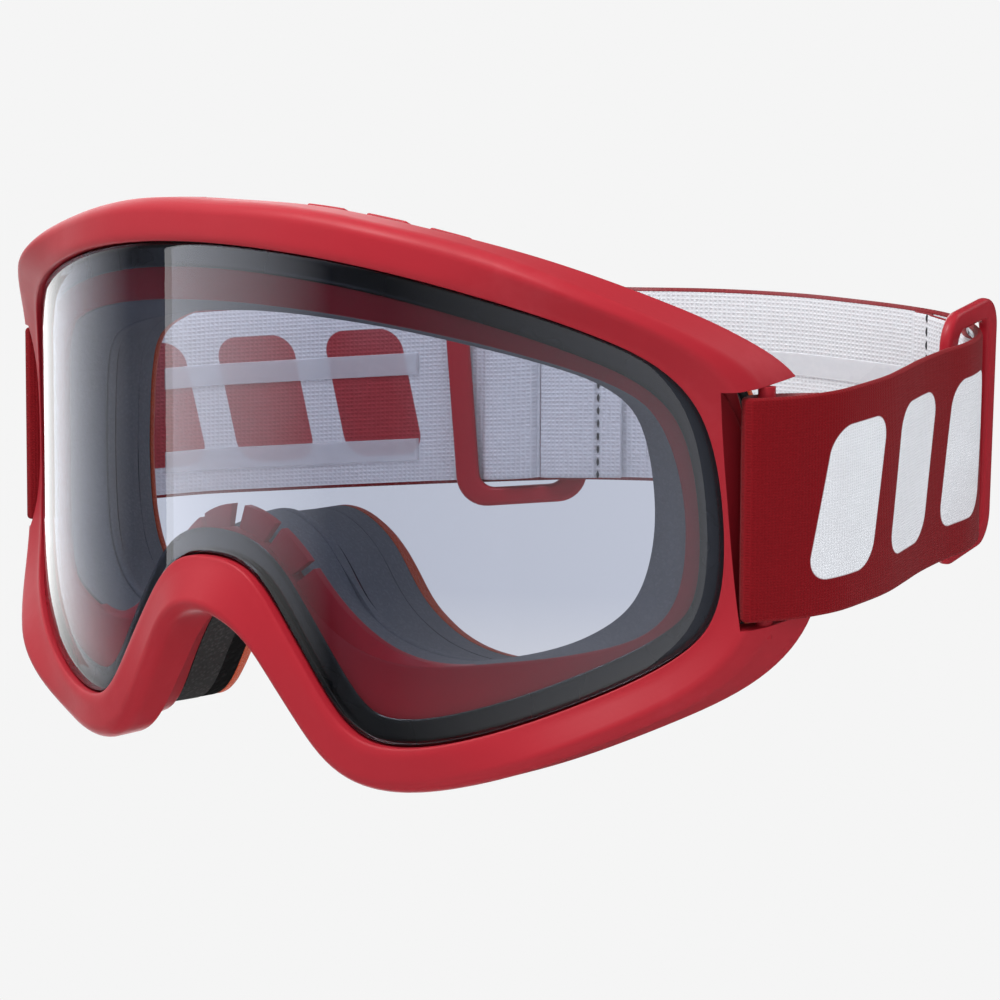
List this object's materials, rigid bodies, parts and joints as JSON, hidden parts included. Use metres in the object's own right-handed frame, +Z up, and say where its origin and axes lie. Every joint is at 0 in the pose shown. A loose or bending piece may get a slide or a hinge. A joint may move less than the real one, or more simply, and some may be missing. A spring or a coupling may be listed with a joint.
{
  "type": "sports goggles",
  "caption": "Strapped sports goggles with a single cylindrical lens, moulded frame, layered face foam and an elastic strap with sliding adjusters.",
  "frame": {"origin": "where the foam meets the brow, on the middle plane, at the strap's height", "axes": "+Z up, -Y the way the wearer looks, +X to the right of someone facing the goggles"},
  "size_m": [0.1942, 0.1352, 0.101],
  "materials": {
    "frame_red": "satin moulded polyurethane",
    "gasket_black": "matte",
    "lens_clear": "clear with a faint blue-grey tint",
    "lens_print": "printed black band behind the lens",
    "vent_foam": "open-cell foam",
    "foam_base": "open-cell foam",
    "foam_middle": "soft black foam",
    "foam_fleece": "brushed orange face fabric",
    "strap_web": "woven elastic with a jacquard pattern",
    "silicone_grip": "clear silicone",
    "buckle_red": "satin moulded plastic"
  },
  "bodies": {
    "frame": {"front_bezel": "frame_red", "lens_seat": "frame_red", "rear_frame": "frame_red", "lens_gasket": "gasket_black", "top_vent_ribs": "frame_red", "nose_vent_ribs": "frame_red", "vent_foam_upper": "vent_foam", "vent_foam_lower": "vent_foam", "face_foam_base": "foam_base", "face_foam_middle": "foam_middle", "face_foam_fleece": "foam_fleece", "strap_bar_right": "frame_red", "strap_bar_left": "frame_red", "strap_loop_right": "strap_web", "strap_loop_left": "strap_web"},
    "lens": {"lens": "lens_clear", "lens_border": "lens_print"},
    "strap": {"strap_side_right": "strap_web", "strap_side_left": "strap_web", "strap_rear": "strap_web", "strap_fold_right": "strap_web", "strap_fold_left": "strap_web", "grip_bands_right": "silicone_grip", "grip_bands_left": "silicone_grip", "grip_bands_rear": "silicone_grip"},
    "buckle_right": {"buckle_right": "buckle_red"},
    "buckle_left": {"buckle_left": "buckle_red"}
  },
  "joints": [
    {"name": "strap_swing", "type": "hinge", "parent": "frame", "child": "strap", "pos_m": [0, 0.009, 0.002], "axis": [1, 0, 0], "range_deg": [-15, 15]},
    {"name": "lens_release", "type": "slide", "parent": "frame", "child": "lens", "axis": [0, -1, 0], "range_m": [0, 0.03]},
    {"name": "buckle_right_slide", "type": "slide", "parent": "strap", "child": "buckle_right", "axis": [-0.6914, 0.7138, 0.1115], "range_m": [0, 0.008]},
    {"name": "buckle_left_slide", "type": "slide", "parent": "strap", "child": "buckle_left", "axis": [-0.9357, -0.3429, -0.083], "range_m": [0, 0.008]}
  ]
}
